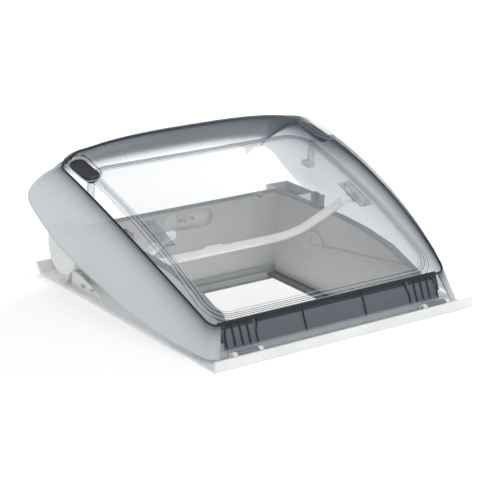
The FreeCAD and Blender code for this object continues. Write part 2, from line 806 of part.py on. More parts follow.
def make_pane_frame():
    """The bonded rim that joins the inner pane to the outer glazing, open in the middle."""
    half = size["pane_half"]
    gap = 3.0
    rim = curved_plate(half, PANE_FRONT, PANE_REAR, size["pane_drop"] - gap, gap - 0.05)
    rim = rim.common(rounded_column(half, PANE_FRONT - 2, PANE_REAR + 2, 34.0))
    rim = rim.cut(rounded_column(half - 6, PANE_FRONT + 6, PANE_REAR - 6, 28.0))
    for sign in (-1, 1):
        rim = rim.cut(cap_outline(sign, 3.0, 60.0, -40.0))
    feature("pane_rim", rim, DOME)


CAP_X = 221.0
CAP_BACK = 378.0
CAP_PITCH = 5.0
CAP_RISE = 8.5


def cap_frame(sign):
    """The local frame of a latch cap: centred on it, level with the dome's shoulder."""
    up = crease_up(CAP_BACK) + CAP_RISE
    turn = Rotation(X_AXIS, CAP_PITCH).multiply(Rotation(Y_AXIS, 14.0 * sign))
    return Placement(Vector(sign * CAP_X, CAP_BACK, up), turn)


def cap_outline(sign, grow, high, low):
    """An oval column that matches a latch cap, grown by a margin, in the dome's frame."""
    radius = size["cap_wide"] / 2 + grow
    straight = size["cap_long"] / 2 - size["cap_wide"] / 2
    bar = Part.makeBox(2 * radius, 2 * straight, high - low, Vector(-radius, -straight, low))
    ends = [rod(radius, high - low, (0, s * straight, low), Z_AXIS) for s in (-1, 1)]
    column = bar.fuse(ends).removeSplitter()
    column.Placement = cap_frame(sign)
    return column


def make_latches():
    """Oval caps in the dome's rear shoulders, each over a latch that drops into its keeper."""
    for side, sign in SIDES:
        cap = cap_outline(sign, -0.2, 3.0, -4.0)
        plug = cap_outline(sign, -4.0, -4.0, -12.0)
        solid = cap.fuse(plug).removeSplitter()
        feature(f"latch_cap_{side}", solid, DOME)
        place = cap_frame(sign).Base
        post = rod(6.0, 38.0, (sign * 212.0, place.y - 6, place.z - 52.5), Z_AXIS)
        hook = block((-7, -6, -8), (7, 14, 0))
        hook.translate(Vector(sign * 212.0, place.y - 6, place.z - 52.0))
        feature(f"latch_hook_{side}", post.fuse(hook).removeSplitter(), DOME)


def make_crease_bead():
    """A thin dark bead inset along the crease at both sides and round the front corners."""
    backs = [52.0 + (410.0 - 52.0) * k / 10 for k in range(11)]
    beads = []
    for sign in (-1, 1):
        line = Part.BSplineCurve()
        points = []
        for b in backs:
            inset = size["shell_wall"] + 3.4
            points.append(Vector(sign * (crease_half(b) - inset), b, crease_up(b) - 4.4))
        line.interpolate(points)
        edge = line.toShape()
        start = points[0]
        tangent = edge.tangentAt(edge.FirstParameter)
        circle = Part.Wire([Part.Circle(start, tangent, 1.1).toShape()])
        beads.append(Part.Wire([edge]).makePipeShell([circle], True, False))
    front = size["crease_front_back"] + 6.6
    across = rod(1.1, 2 * 190.0, (-190.0, front, size["crease_front_up"] - 3.2), X_AXIS)
    feature("crease_bead", group(beads + [across]), DOME)


RIB_SPOTS = (56.0, 143.0, 156.0, 169.0, 182.0, 194.0)


def make_front_rail():
    """The rail inside the front skirt: a web with upright ribs and the hinge knuckles."""
    rise = size["crease_front_up"]
    lean = 0.6
    wall = size["shell_wall"] + 1.0

    def back_at(z):
        return 34.0 + lean * (z - rise) + wall

    web_low, web_high = 1.0, 25.5
    web_near, web_far = 1.3, 3.3
    rib_high = 31.0
    web = prism([(back_at(web_low) + web_near, web_low), (back_at(web_low) + web_far, web_low),
                 (back_at(web_high) + web_far, web_high),
                 (back_at(web_high) + web_near, web_high)], 2 * 200.0, -200.0)
    solids = [web]
    for spot in RIB_SPOTS:
        for sign in (-1, 1):
            rib = prism([(back_at(-1), -1), (back_at(web_low) + web_near + 0.5, web_low),
                         (back_at(web_high) + web_near + 0.5, web_high),
                         (back_at(rib_high), rib_high)], 2.4, sign * spot - 1.2)
            solids.append(rib)
    radius = size["knuckle_rad"]
    bore = size["pin_rad"] + size["pin_play"]
    inner = size["hinge_inner"] + EAR_WIDE + KNUCKLE_PLAY
    outer = size["hinge_outer"] - EAR_WIDE - KNUCKLE_PLAY
    for sign in (-1, 1):
        start = inner if sign > 0 else -outer
        eye = rod(radius, outer - inner, (start, 0, 0), X_AXIS)
        arm_back = back_at(web_low) + web_far
        arm = prism([(0, -radius), (arm_back, -radius), (arm_back, 4.0),
                     (arm_back - 2.2, 4.0), (arm_back - 2.2, -3.9), (0, -3.9)],
                    outer - inner, start)
        hole = rod(bore, outer - inner + 2, (start - 1, 0, 0), X_AXIS)
        solids.append(eye.fuse(arm).cut(hole))
    rail = joined(solids).cut(hinge_bores(bore))
    feature("front_rail", rail, DOME)


def hinge_bores(radius):
    return rod(radius, 480.0, (-240.0, 0, 0), X_AXIS)


BRACKET_SCREWS = (-26.0, 26.0)


def pane_under():
    """How far the inner pane's lower face lies under the crease."""
    return size["pane_drop"] + size["pane_thick"]


def make_bow_brackets():
    """Clear brackets under the inner pane: a foot with two fins that carry the bow's pin."""
    pivot_back = size["bow_pivot_back"]
    pivot_up = size["bow_pivot_up"]
    bore = size["bow_pin_rad"] + size["pin_play"]
    screws = []
    for side, sign in SIDES:
        reach = 22.0
        fins = []
        for x in (180.0, 190.5):
            foot_front = pane_level(pivot_back - reach, pane_under() + 0.5)
            foot_rear = pane_level(pivot_back + reach, pane_under() + 0.5)
            fin = prism([(pivot_back - reach, foot_front), (pivot_back + reach, foot_rear),
                         (pivot_back + 6, pivot_up - 3), (pivot_back - 6, pivot_up - 3)], 2.5, x)
            fins.append(fin.fuse(rod(6.0, 2.5, (x, pivot_back, pivot_up), X_AXIS)))
        foot = curved_plate(12.0, pivot_back - 30, pivot_back + 30, pane_under() + 0.02, 2.2, 4)
        foot.translate(Vector(187.5, 0, 0))
        for shift in BRACKET_SCREWS:
            foot = foot.cut(rod(1.5, 12.0, (187.5, pivot_back + shift,
                                            pane_level(pivot_back + shift, pane_under()) - 8), Z_AXIS))
        body = joined(fins + [foot])
        body = body.cut(rod(bore, 30.0, (175.0, pivot_back, pivot_up), X_AXIS))
        feature(f"bow_bracket_{side}", for_side(body, sign), DOME)
        for shift in BRACKET_SCREWS:
            level = pane_level(pivot_back + shift, pane_under() + 3.2)
            at = (sign * 187.5, pivot_back + shift, level)
            screws.append(screw(at, -Z_AXIS, 2.8, 1.6, 1.4, 2.7))
    feature("bracket_screws", group(screws), DOME)


def make_vent_plug():
    """A small clear plug in the inner pane that lets the gap between the panes breathe."""
    back = 265.0
    pitch = math.degrees(math.atan2(crease_up(back + 1) - crease_up(back - 1), 2))
    head = rod(7.0, 2.5, (0, 0, -2.75), Z_AXIS)
    knob = rod(3.5, 3.0, (0, 0, -5.7), Z_AXIS)
    spot = turned(pitch, back, pane_level(back, pane_under()))
    spot.Base.x = 29.0
    feature("vent_plug", head.fuse(knob).removeSplitter(), DOME.multiply(spot))


# ---------------------------------------------------------------- bow handle
LEG_TOP = 166.0
LEG_FOOT = 160.0
ELBOW_RADIUS = 44.0
CRANK_END = 178.8


def bow_path():
    """The bow's centre line in its own plane: one leg, elbow, bar, elbow, other leg."""
    length = size["bow_long"]
    foot = Vector(LEG_FOOT, length, 0)
    top = Vector(LEG_TOP, 0, 0)
    along_leg = (top - foot).normalize()
    half_turn = along_leg.getAngle(Vector(-1, 0, 0)) / 2
    reach = ELBOW_RADIUS / math.tan(half_turn)
    leg_end = foot + along_leg * reach
    bar_end = foot + Vector(-reach, 0, 0)
    to_centre = (along_leg + Vector(-1, 0, 0)).normalize()
    centre = foot + to_centre * (ELBOW_RADIUS / math.sin(half_turn))
    middle = centre - to_centre * ELBOW_RADIUS

    def flip(point):
        return Vector(-point.x, point.y, point.z)

    edges = [
        Part.LineSegment(top, leg_end).toShape(),
        Part.Arc(leg_end, middle, bar_end).toShape(),
        Part.LineSegment(bar_end, flip(bar_end)).toShape(),
        Part.Arc(flip(bar_end), flip(middle), flip(leg_end)).toShape(),
        Part.LineSegment(flip(leg_end), flip(top)).toShape(),
    ]
    return Part.Wire(edges), top, along_leg


def make_bow():
    path, top, along = bow_path()
    half_wide = size["bow_wide"] / 2
    half_thick = size["bow_thick"] / 2
    oval = Part.Ellipse(Vector(0, 0, 0), half_wide, half_thick).toShape()
    across = Z_AXIS.cross(along)
    oval.Placement = Placement(top, Rotation(across, Z_AXIS, along, "ZXY"))
    tube = path.makePipeShell([Part.Wire([oval])], True, False)
    solid = tube
    for sign in (-1, 1):
        start = LEG_TOP - 9 if sign > 0 else -CRANK_END
        crank = rod(half_thick + 0.3, CRANK_END - LEG_TOP + 9, (start, 0, 0), X_AXIS)
        solid = solid.fuse(crank)
    pin_bore = rod(size["bow_pin_rad"], 400.0, (-200.0, 0, 0), X_AXIS)
    keep_out = block((-LEG_TOP + 2, -20, -20), (LEG_TOP - 2, 20, 20))
    solid = solid.cut(pin_bore.cut(keep_out))
    solid = solid.cut(button_slot(0.0))
    feature("bow_handle", solid, BOW)
    pins = [rod(size["bow_pin_rad"], 194.5 - LEG_TOP + 2,
                (LEG_TOP - 2 if s > 0 else -194.5, 0, 0), X_AXIS) for s in (-1, 1)]
    feature("bow_pins", group(pins), BOW)


BUTTON_HALF = 16.0
BUTTON_DEEP = 9.0


def button_slot(margin):
    """The pocket in the bar's upper face that holds the lock button."""
    length = size["bow_long"]
    return block((-BUTTON_HALF + margin, length - 5 + margin, -2.5),
                 (BUTTON_HALF - margin, length + 5 - margin, 12.0))


def make_lock_button():
    """The press button in the bar, with the leaf spring under it."""
    length = size["bow_long"]
    play = 0.3
    top = size["bow_thick"] / 2 + 1.8
    button = block((-BUTTON_HALF + play, length - 5 + play, 1.2),
                   (BUTTON_HALF - play, length + 5 - play, top))
    uprights = [e for e in button.Edges if abs(e.tangentAt(e.FirstParameter).z) > 0.9]
    button = button.makeFillet(3.0, uprights)
    feature("lock_button", button, BOW)
    leaf = prism([(-13.0, -2.4), (-5.15, 0.6), (5.15, 0.6), (13.0, -2.4), (13.0, -1.9),
                  (5.0, 1.1), (-5.0, 1.1), (-13.0, -1.9)], 6.0, length - 3.0, "xz")
    feature("lock_spring", leaf, BOW)


# ---------------------------------------------------------------- build, check, write
def build():
    make_outer_frame()
    make_roof_seal()
    make_collar_trim()
    make_catch_posts()
    make_bow_guides()
    make_latch_keepers()
    make_lock_catch()
    make_hinges()
    make_inner_frame()
    make_blind_rails()
    make_blind("screen", 1, size["screen_level"])
    make_blind("shade", -1, size["shade_level"])
    make_clamps()
    make_dome_shell()
    make_inner_pane()
    make_pane_frame()
    make_latches()
    make_crease_bead()
    make_front_rail()
    make_bow_brackets()
    make_vent_plug()
    make_bow()
    make_lock_button()
    doc.recompute()


def check():
    for thing in doc.Objects:
        if "Invalid" in thing.State or "Error" in thing.State:
            raise RuntimeError(f"{thing.Name} failed: {thing.State}")
    for name, thing in nodes.items():
        shape = thing.Shape
        if shape.isNull() or not shape.isValid() or not shape.Solids:
            raise RuntimeError(f"{name} has no valid shape")
        print(f"{name:22s} solids {len(shape.Solids):2d}  volume {shape.Volume / 1000:9.2f} cm3")


def write():
    os.makedirs("parts", exist_ok=True)
    for name, thing in nodes.items():
        thing.Shape.exportStep(f"parts/{name}.step")


build()
check()
write()
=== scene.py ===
"""Looks of the roof and deck hatch: tinted dome, white frame, bow handle and blinds.

The scene is in metres; the dome and the bow are laid out in millimetres in their own frames.
"""
import json
import math

import bmesh
import bpy
import numpy as np
from mathutils import Matrix, Vector


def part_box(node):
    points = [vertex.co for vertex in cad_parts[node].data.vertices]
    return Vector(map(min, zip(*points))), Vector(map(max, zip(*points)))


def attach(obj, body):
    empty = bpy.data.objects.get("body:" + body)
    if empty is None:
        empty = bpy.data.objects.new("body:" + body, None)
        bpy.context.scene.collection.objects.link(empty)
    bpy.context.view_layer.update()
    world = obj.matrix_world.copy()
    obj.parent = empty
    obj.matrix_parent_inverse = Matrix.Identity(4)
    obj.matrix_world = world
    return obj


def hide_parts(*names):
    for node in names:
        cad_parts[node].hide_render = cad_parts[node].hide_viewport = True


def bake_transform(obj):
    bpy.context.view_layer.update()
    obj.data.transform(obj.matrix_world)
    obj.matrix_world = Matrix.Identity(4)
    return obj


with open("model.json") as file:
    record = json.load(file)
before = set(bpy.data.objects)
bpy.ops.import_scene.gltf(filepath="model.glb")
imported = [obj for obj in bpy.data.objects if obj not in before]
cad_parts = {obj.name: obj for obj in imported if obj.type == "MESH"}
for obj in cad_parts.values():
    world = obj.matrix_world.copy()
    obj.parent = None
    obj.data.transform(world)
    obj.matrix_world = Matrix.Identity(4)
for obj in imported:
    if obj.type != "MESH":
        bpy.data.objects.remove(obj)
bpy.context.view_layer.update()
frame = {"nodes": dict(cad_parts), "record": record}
MM = 0.001

joints = {joint["name"]: joint for joint in frame["record"]["behaviour"]["joints"]}
HINGE = Vector(joints["dome_tilt"]["pos_m"])
REST_OPEN = math.radians(-joints["dome_tilt"]["range_deg"][0])
PIVOT = Vector(joints["bow_swing"]["pos_m"])


# ---------------------------------------------------------------- camera, light, floor
def linked(name, data):
    """A new object made of that data, placed in the scene."""
    made = bpy.data.objects.new(name, data)
    bpy.context.collection.objects.link(made)
    return made


def add_camera():
    """The camera of the product view: long lens, from the front left, a little above."""
    azimuth = math.radians(-36.74)
    height = math.radians(18.92)
    roll = math.radians(1.5)
    distance = 2.76217
    target = Vector((0.00567, 0.01642, 0.060))
    back = Vector((math.sin(azimuth) * math.cos(height), -math.cos(azimuth) * math.cos(height),
                   math.sin(height)))
    right = Vector((math.cos(azimuth), math.sin(azimuth), 0.0))
    up = back.cross(right)
    rolled_right = math.cos(roll) * right + math.sin(roll) * up
    rolled_up = math.cos(roll) * up - math.sin(roll) * right
    data = bpy.data.cameras.new("camera")
    data.sensor_width = 36.0
    data.lens = 128.2
    data.clip_end = 100.0
    camera = linked("camera", data)
    turn = Matrix((rolled_right, rolled_up, back)).transposed().to_4x4()
    camera.matrix_world = Matrix.Translation(target + back * distance) @ turn
    bpy.context.scene.camera = camera


def add_area(name, place, aim, size, power, mirrored=True):
    """A rectangular lamp aimed at a point; unless mirrored, glossy surfaces don't show it."""
    data = bpy.data.lights.new(name, "AREA")
    data.shape = "RECTANGLE"
    data.size, data.size_y = size
    data.energy = power
    lamp = linked(name, data)
    lamp.location = place
    lamp.rotation_euler = (Vector(aim) - Vector(place)).to_track_quat("-Z", "Y").to_euler()
    lamp.visible_glossy = mirrored


def add_light():
    """Soft pale surroundings and four lamps, all neutral studio light."""
    world = bpy.data.worlds.new("studio")
    world.use_nodes = True
    shade = world.node_tree.nodes["Background"]
    shade.inputs["Color"].default_value = (0.96, 0.98, 1.0, 1.0)
    shade.inputs["Strength"].default_value = 0.64
    bpy.context.scene.world = world
    bpy.context.scene.view_settings.view_transform = "Standard"
    middle = (0, 0, 0.08)
    add_area("key", (-0.2, -0.4, 2.4), middle, (1.4, 1.4), 9.0)
    add_area("right_rear", (2.2, 1.2, 1.0), middle, (1.6, 1.2), 42.0, mirrored=False)
    add_area("front", (0.5, -2.4, 0.9), middle, (1.6, 1.0), 11.0, mirrored=False)
    add_area("glint", (-1.25, -1.65, 1.62), (-0.2, -0.2, 0.03), (0.12, 0.5), 5.0)


def add_stage():
    """A pale deck with the square cut-out, and bright white a little way below the opening."""
    half_hole = 0.200
    half_floor = 12.0
    level = -0.0004
    half_room = 0.5
    room_level = -0.12
    spots = [-half_floor, -half_hole, half_hole, half_floor]
    mesh = bpy.data.meshes.new("floor")
    made = bmesh.new()
    grid = [[made.verts.new((x, y, level)) for y in spots] for x in spots]
    for i in range(3):
        for j in range(3):
            if (i, j) != (1, 1):
                made.faces.new((grid[i][j], grid[i + 1][j], grid[i + 1][j + 1], grid[i][j + 1]))
    made.to_mesh(mesh)
    made.free()
    white = glowing(plain("floor_white", (0.93, 0.93, 0.93), 0.9), (1, 1, 1), 0.20)
    shader_of(white).inputs["Specular IOR Level"].default_value = 0.1
    mesh.materials.append(white)
    floor = linked("floor", mesh)
    below = bpy.data.meshes.new("room_below")
    corners = ((-1, -1), (1, -1), (1, 1), (-1, 1))
    below.from_pydata([(x * half_room, y * half_room, room_level) for x, y in corners], [],
                      [(0, 1, 2, 3)])
    below.materials.append(glowing(plain("room_glow", (0.3, 0.3, 0.3), 0.5), (1, 1, 1), 0.72))
    room = linked("room_below", below)


# ---------------------------------------------------------------- materials
def shader_of(material):
    return material.node_tree.nodes["Principled BSDF"]


def set_inputs(node, values):
    for name, value in values.items():
        node.inputs[name].default_value = value


def add_node(tree, kind, values=None):
    """A new shader node with those input values."""
    node = tree.nodes.new(f"ShaderNode{kind}")
    set_inputs(node, values or {})
    return node


def add_math(tree, operation, *terms):
    """A maths node on numbers or sockets; gives back the socket of its result."""
    node = add_node(tree, "Math")
    node.operation = operation
    for term, socket in zip(terms, node.inputs):
        if isinstance(term, bpy.types.NodeSocket):
            tree.links.new(term, socket)
        else:
            socket.default_value = term
    return node.outputs["Value"]


def plain(name, colour, rough):
    """A material of one colour and roughness."""
    made = bpy.data.materials.new(name)
    made.use_nodes = True
    set_inputs(shader_of(made), {"Base Color": (*colour, 1), "Roughness": rough})
    return made


def glowing(made, colour, strength):
    """Give a material a light of its own, the same all over."""
    set_inputs(shader_of(made), {"Emission Color": (*colour, 1), "Emission Strength": strength})
    return made


def moulded(name, colour, rough, grain=900.0, depth=0.12, vary=0.04, coat=0.0):
    """Moulded plastic: fine grain in the bump, and a faint mottling of colour and gloss."""
    made = plain(name, colour, rough)
    tree = made.node_tree
    shader = shader_of(made)
    set_inputs(shader, {"Coat Weight": coat, "Coat Roughness": 0.08})
    place = add_node(tree, "TexCoord").outputs["Object"]
    fine = add_node(tree, "TexNoise", {"Scale": grain, "Detail": 3.0})
    bump = add_node(tree, "Bump", {"Strength": depth, "Distance": 0.00006})
    broad = add_node(tree, "TexNoise", {"Scale": 14.0, "Detail": 2.0})
    tone = add_node(tree, "ValToRGB")
    darker, lighter = tone.color_ramp.elements
    darker.position = 0.35
    lighter.position = 0.65
    darker.color = (*[c * (1 - vary) for c in colour], 1)
    lighter.color = (*[min(1.0, c * (1 + vary)) for c in colour], 1)
    gloss = add_node(tree, "MapRange",
                     {"To Min": max(0.02, rough - 0.05), "To Max": rough + 0.05})
    for source, target in ((place, fine.inputs["Vector"]),
                           (place, broad.inputs["Vector"]),
                           (fine.outputs["Fac"], bump.inputs["Height"]),
                           (bump.outputs["Normal"], shader.inputs["Normal"]),
                           (broad.outputs["Fac"], tone.inputs["Fac"]),
                           (tone.outputs["Color"], shader.inputs["Base Color"]),
                           (broad.outputs["Fac"], gloss.inputs["Value"]),
                           (gloss.outputs["Result"], shader.inputs["Roughness"])):
        tree.links.new(source, target)
    return made


def see_through(name, colour, least, most, bend, rough=0.03, edge=None, shine=0.5):
    """Thin tinted plastic: nearly clear face on, and filling with its colour towards its edges.

    An edge gives the two facing values between which it fills, for a sharper change."""
    made = plain(name, colour, rough)
    tree = made.node_tree
    shader = shader_of(made)
    set_inputs(shader, {"Specular IOR Level": shine, "Coat Weight": shine * 0.5})
    facing = add_node(tree, "LayerWeight", {"Blend": 0.5}).outputs["Facing"]
    if edge:
        sharper = add_node(tree, "MapRange", {"From Min": edge[0], "From Max": edge[1]})
        sharper.interpolation_type = "SMOOTHSTEP"
        tree.links.new(facing, sharper.inputs["Value"])
        facing = sharper.outputs["Result"]
    span = add_node(tree, "MapRange", {"To Min": least, "To Max": most})
    clear = add_node(tree, "BsdfTransparent")
    mix = add_node(tree, "MixShader")
    tree.links.new(add_math(tree, "POWER", facing, bend), span.inputs["Value"])
    tree.links.new(span.outputs["Result"], mix.inputs["Fac"])
    tree.links.new(clear.outputs["BSDF"], mix.inputs[1])
    tree.links.new(shader.outputs["BSDF"], mix.inputs[2])
    tree.links.new(mix.outputs["Shader"], tree.nodes["Material Output"].inputs["Surface"])
    return made


def tint(made, factor, colour):
    """Mix a colour into a material's own, as far as the factor's socket says."""
    tree = made.node_tree
    own = shader_of(made).inputs["Base Color"]
    mixed = add_node(tree, "Mix")
    mixed.data_type = "RGBA"
    if own.is_linked:
        tree.links.new(own.links[0].from_socket, mixed.inputs["A"])
    else:
        mixed.inputs["A"].default_value = own.default_value[:]
    mixed.inputs["B"].default_value = (*colour, 1)
    tree.links.new(factor, mixed.inputs["Factor"])
    tree.links.new(mixed.outputs["Result"], own)


def marked(made, colour, fill, spread=1.0):
    """Paint a colour into a see-through material, fill it in and end its glow, where its mesh's
    mark says; these marks carry painted shade and painted light.
    """
    tree = made.node_tree
    glow = shader_of(made).inputs["Emission Strength"]
    read = add_node(tree, "Attribute")
    read.attribute_name = "mark"
    mark = add_math(tree, "POWER", read.outputs["Fac"], spread)
    fading = add_node(tree, "MapRange", {"To Min": glow.default_value, "To Max": 0.0})
    tree.links.new(mark, fading.inputs["Value"])
    tree.links.new(fading.outputs["Result"], glow)
    tint(made, mark, colour)
    solid = next(node for node in tree.nodes
                 if node.bl_idname == "ShaderNodeMixShader").inputs["Fac"]
    filled = add_math(tree, "MULTIPLY", mark, fill)
    tree.links.new(add_math(tree, "MAXIMUM", filled, solid.links[0].from_socket), solid)
    return made


def shade_well_walls(made, half, colour):
    """Painted shade: the walls inside a square of that half size get a darker colour, standing in
    for the shade down in the well.
    """
    tree = made.node_tree
    split = add_node(tree, "SeparateXYZ")
    tree.links.new(add_node(tree, "TexCoord").outputs["Object"], split.inputs["Vector"])
    sizes = [add_math(tree, "ABSOLUTE", split.outputs[axis]) for axis in ("X", "Y")]
    larger = add_math(tree, "MAXIMUM", *sizes)
    tint(made, add_math(tree, "LESS_THAN", larger, half), colour)
    return made


WHITE = (0.78, 0.78, 0.77)
WELL_HALF = 0.1785
# painted shade colour for the walls inside the well
WELL_SHADE = (0.64, 0.635, 0.62)
# painted shade: the dark blue that the painted bands on the dome top and the skirts' inner faces
# fill to
PAINTED_SHADE = (0.022, 0.036, 0.055)


def make_materials():
    """Every material, by its short name."""
    m = {}
    m["white"] = moulded("white_moulding", WHITE, 0.42, coat=0.1)
    # painted shade: the frame's walls inside the well are painted darker than its white
    m["frame"] = shade_well_walls(moulded("frame_moulding", WHITE, 0.42, coat=0.1), WELL_HALF, WELL_SHADE)
    bow = moulded("bow_moulding", (0.86, 0.865, 0.87), 0.26, grain=500.0, coat=0.3)
    # painted light: the bow gets a faint glow of its own, to brighten it
    m["bow"] = glowing(bow, (1, 1, 1), 0.2)
    m["grey"] = moulded("grey_moulding", (0.42, 0.43, 0.43), 0.45)
    m["trim"] = moulded("trim_rubber", (0.42, 0.43, 0.44), 0.6)
    m["olive"] = moulded("olive_moulding", (0.11, 0.105, 0.085), 0.5)
    m["cap"] = moulded("cap_moulding", (0.010, 0.012, 0.014), 0.34, grain=600.0, coat=0.05)
    m["rubber"] = moulded("black_rubber_skin", (0.010, 0.011, 0.013), 0.45)
    m["foam"] = moulded("foam_tape", (0.05, 0.05, 0.05), 0.9, grain=1500.0, depth=0.5)
    m["liner"] = moulded("smoked_liner", (0.036, 0.046, 0.057), 0.5)
    m["rail"] = moulded("rail_moulding", (0.20, 0.22, 0.25), 0.35, coat=0.2)
    m["steel"] = moulded("zinc_steel", (0.62, 0.62, 0.62), 0.32, grain=1200.0)
    shader_of(m["steel"]).inputs["Metallic"].default_value = 1.0
    m["mesh"] = moulded("screen_weave", (0.10, 0.10, 0.09), 0.8, grain=2500.0, depth=0.6)
    m["cloth"] = moulded("shade_weave", (0.72, 0.72, 0.70), 0.85, grain=1800.0, depth=0.5)
    dome = see_through("dome_acrylic", (0.022, 0.038, 0.062), 0.03, 0.94, 1.0,
                       edge=(0.50, 0.86), shine=0.1)
    # painted shade: the top's rear edge fills with a darker, more solid tint, standing in for how
    # the steep acrylic looks darker there
    m["dome"] = marked(dome, PAINTED_SHADE, 0.75)
    rear = see_through("rear_acrylic", (0.28, 0.34, 0.42), 0.06, 0.8, 3.0, shine=0.1)
    # painted shade: the rear skirt is darkest at its top edge, the same darkening as the top's
    # rear edge
    m["rear"] = marked(rear, (0.030, 0.048, 0.070), 1.0)
    m["pane"] = see_through("pane_acrylic", (0.42, 0.45, 0.49), 0.07, 0.5, 4.0, shine=0.2)
    m["clear"] = see_through("clear_moulding", (0.80, 0.83, 0.87), 0.22, 0.9, 1.5, rough=0.06)
    # painted highlight and painted shade: pale and dark copies of one edge material, for the
    # pane's moulded steps
    m["line_light"] = see_through("pane_edge_light", (0.72, 0.75, 0.78), 0.45, 0.9, 1.0,
                                  rough=0.1)
    m["line_dark"] = see_through("pane_edge_dark", (0.10, 0.12, 0.15), 0.35, 0.9, 1.0,
                                 rough=0.1)
    skirt = see_through("opal_skirt", (0.42, 0.44, 0.465), 0.66, 0.95, 2.0, rough=0.25,
                        shine=0.3)
    # painted light: the skirts' outer faces glow faintly, standing in for light through the opal
    # plastic; the band under the crease gets painted shade and loses the glow
    m["skirt"] = marked(glowing(skirt, (0.9, 0.95, 1.0), 0.10), (0.06, 0.08, 0.105), 0.9)
    # painted light: the skirts' inner faces are a paler copy that glows, standing in for the
    # bright backlight seen through them; painted shade darkens the band under the crease
    inside = see_through("skirt_inside", (0.70, 0.73, 0.76), 0.75, 0.95, 2.0, rough=0.4,
                         shine=0.1)
    m["skirt_inside"] = marked(glowing(inside, (0.96, 0.98, 1.0), 0.45), PAINTED_SHADE, 0.9,
                               spread=0.45)
    front = see_through("front_skirt", (0.08, 0.10, 0.125), 0.12, 0.9, 2.4, rough=0.05,
                        shine=0.15)
    # painted light: a pale band along the foot, standing in for the lit white frame seen through
    # the skirt
    m["front"] = marked(front, (0.55, 0.58, 0.61), 0.5)
    return m


NODE_LOOKS = {
    "frame": ("outer_frame", "inner_frame", "bow_guide_left", "bow_guide_right"),
    "white": ("latch_keeper_left", "latch_keeper_right", "lock_catch", "hinge_base_left",
              "hinge_base_right"),
    "bow": ("lock_button",),
    "grey": ("catch_post_left", "catch_post_right", "rail_front", "rail_rear",
             "shade_bar", "shade_grip"),
    "olive": ("screen_bar", "screen_grip"),
    "trim": ("collar_trim",),
    "foam": ("roof_seal",),
    "rail": ("front_rail",),
    "steel": ("post_screws", "lock_catch_screws", "hinge_pin_left", "hinge_pin_right",
              "clamp_clips", "clamp_screws", "bracket_screws", "bow_pins", "lock_spring"),
    "pane": ("inner_pane",),
    "clear": ("latch_hook_left", "latch_hook_right", "bow_bracket_left", "bow_bracket_right",
              "vent_plug"),
}


def dress_nodes(m):
    """Give every node that keeps its own shape its material."""
    for look, names in NODE_LOOKS.items():
        for name in names:
            for slot in frame["nodes"][name].material_slots:
                slot.material = m[look]


# ---------------------------------------------------------------- mesh helpers
def new_object(name, mesh, material, body, stands_for=()):
    """A rigid piece on one body, in one material slot, in place of the nodes it stands for."""
    piece = linked(name, mesh)
    if not mesh.materials:
        mesh.materials.append(material)
    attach(piece, body)
    if stands_for:
        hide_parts(*stands_for)
    return piece


MERGE_GAP = 1e-5
SHARP_EDGE = 50.0


def sheet_mesh(name, rows, thick, outward, sharp=35.0, marks=None, looks=()):
    """A thick skin from rows of points, its outer face on the side that `outward` points to.

    Marks are values from 0 to 1, one for each point, which its material can read. Looks are
    the materials of its outer and inner faces, when they differ."""
    count = len(rows[0])
    points = [point for row in rows for point in row]
    faces = []
    for i in range(len(rows) - 1):
        for j in range(count - 1):
            a = i * count + j
            faces.append((a, a + 1, a + count + 1, a + count))
    mesh = bpy.data.meshes.new(name)
    mesh.from_pydata([tuple(p) for p in points], [], faces)
    if marks is not None:
        layer = mesh.attributes.new("mark", "FLOAT", "POINT")
        layer.data.foreach_set("value", [float(mark) for row in marks for mark in row])
    made = bmesh.new()
    made.from_mesh(mesh)
    bmesh.ops.remove_doubles(made, verts=made.verts, dist=MERGE_GAP)
    made.normal_update()
    total = sum((face.normal * face.calc_area() for face in made.faces), Vector())
    if total.dot(Vector(outward)) < 0:
        bmesh.ops.reverse_faces(made, faces=made.faces)
    made.to_mesh(mesh)
    made.free()
    holder = linked(f"{name}_holder", mesh)
    solid = holder.modifiers.new("wall", "SOLIDIFY")
    solid.thickness = thick
    solid.offset = -1.0
    for look in looks:
        mesh.materials.append(look)
    solid.material_offset = max(0, len(looks) - 1)
    done = baked_mesh(holder, name)
    done.shade_smooth()
    done.set_sharp_from_angle(angle=math.radians(sharp))
    return done


def baked_mesh(holder, name):
    """The final mesh of an object with its modifiers applied; the object goes away."""
    graph = bpy.context.evaluated_depsgraph_get()
    done = bpy.data.meshes.new_from_object(holder.evaluated_get(graph), depsgraph=graph)
    done.name = name
    bpy.data.objects.remove(holder)
    return done


def loft_mesh(name, rings, sharp=SHARP_EDGE, closed=False):
    """A skin through rings of points, with flat ends unless the rings themselves close up."""
    made = bmesh.new()
    verts = [[made.verts.new(point) for point in ring] for ring in rings]
    count = len(rings[0])
    for one, two in zip(verts, verts[1:] + (verts[:1] if closed else [])):
        for k in range(count):
            n = (k + 1) % count
            made.faces.new((one[k], one[n], two[n], two[k]))
    if not closed:
        made.faces.new(verts[0][::-1])
        made.faces.new(verts[-1])
    bmesh.ops.recalc_face_normals(made, faces=made.faces)
    mesh = bpy.data.meshes.new(name)
    made.to_mesh(mesh)
    made.free()
    mesh.shade_smooth()
    mesh.set_sharp_from_angle(angle=math.radians(sharp))
    return mesh


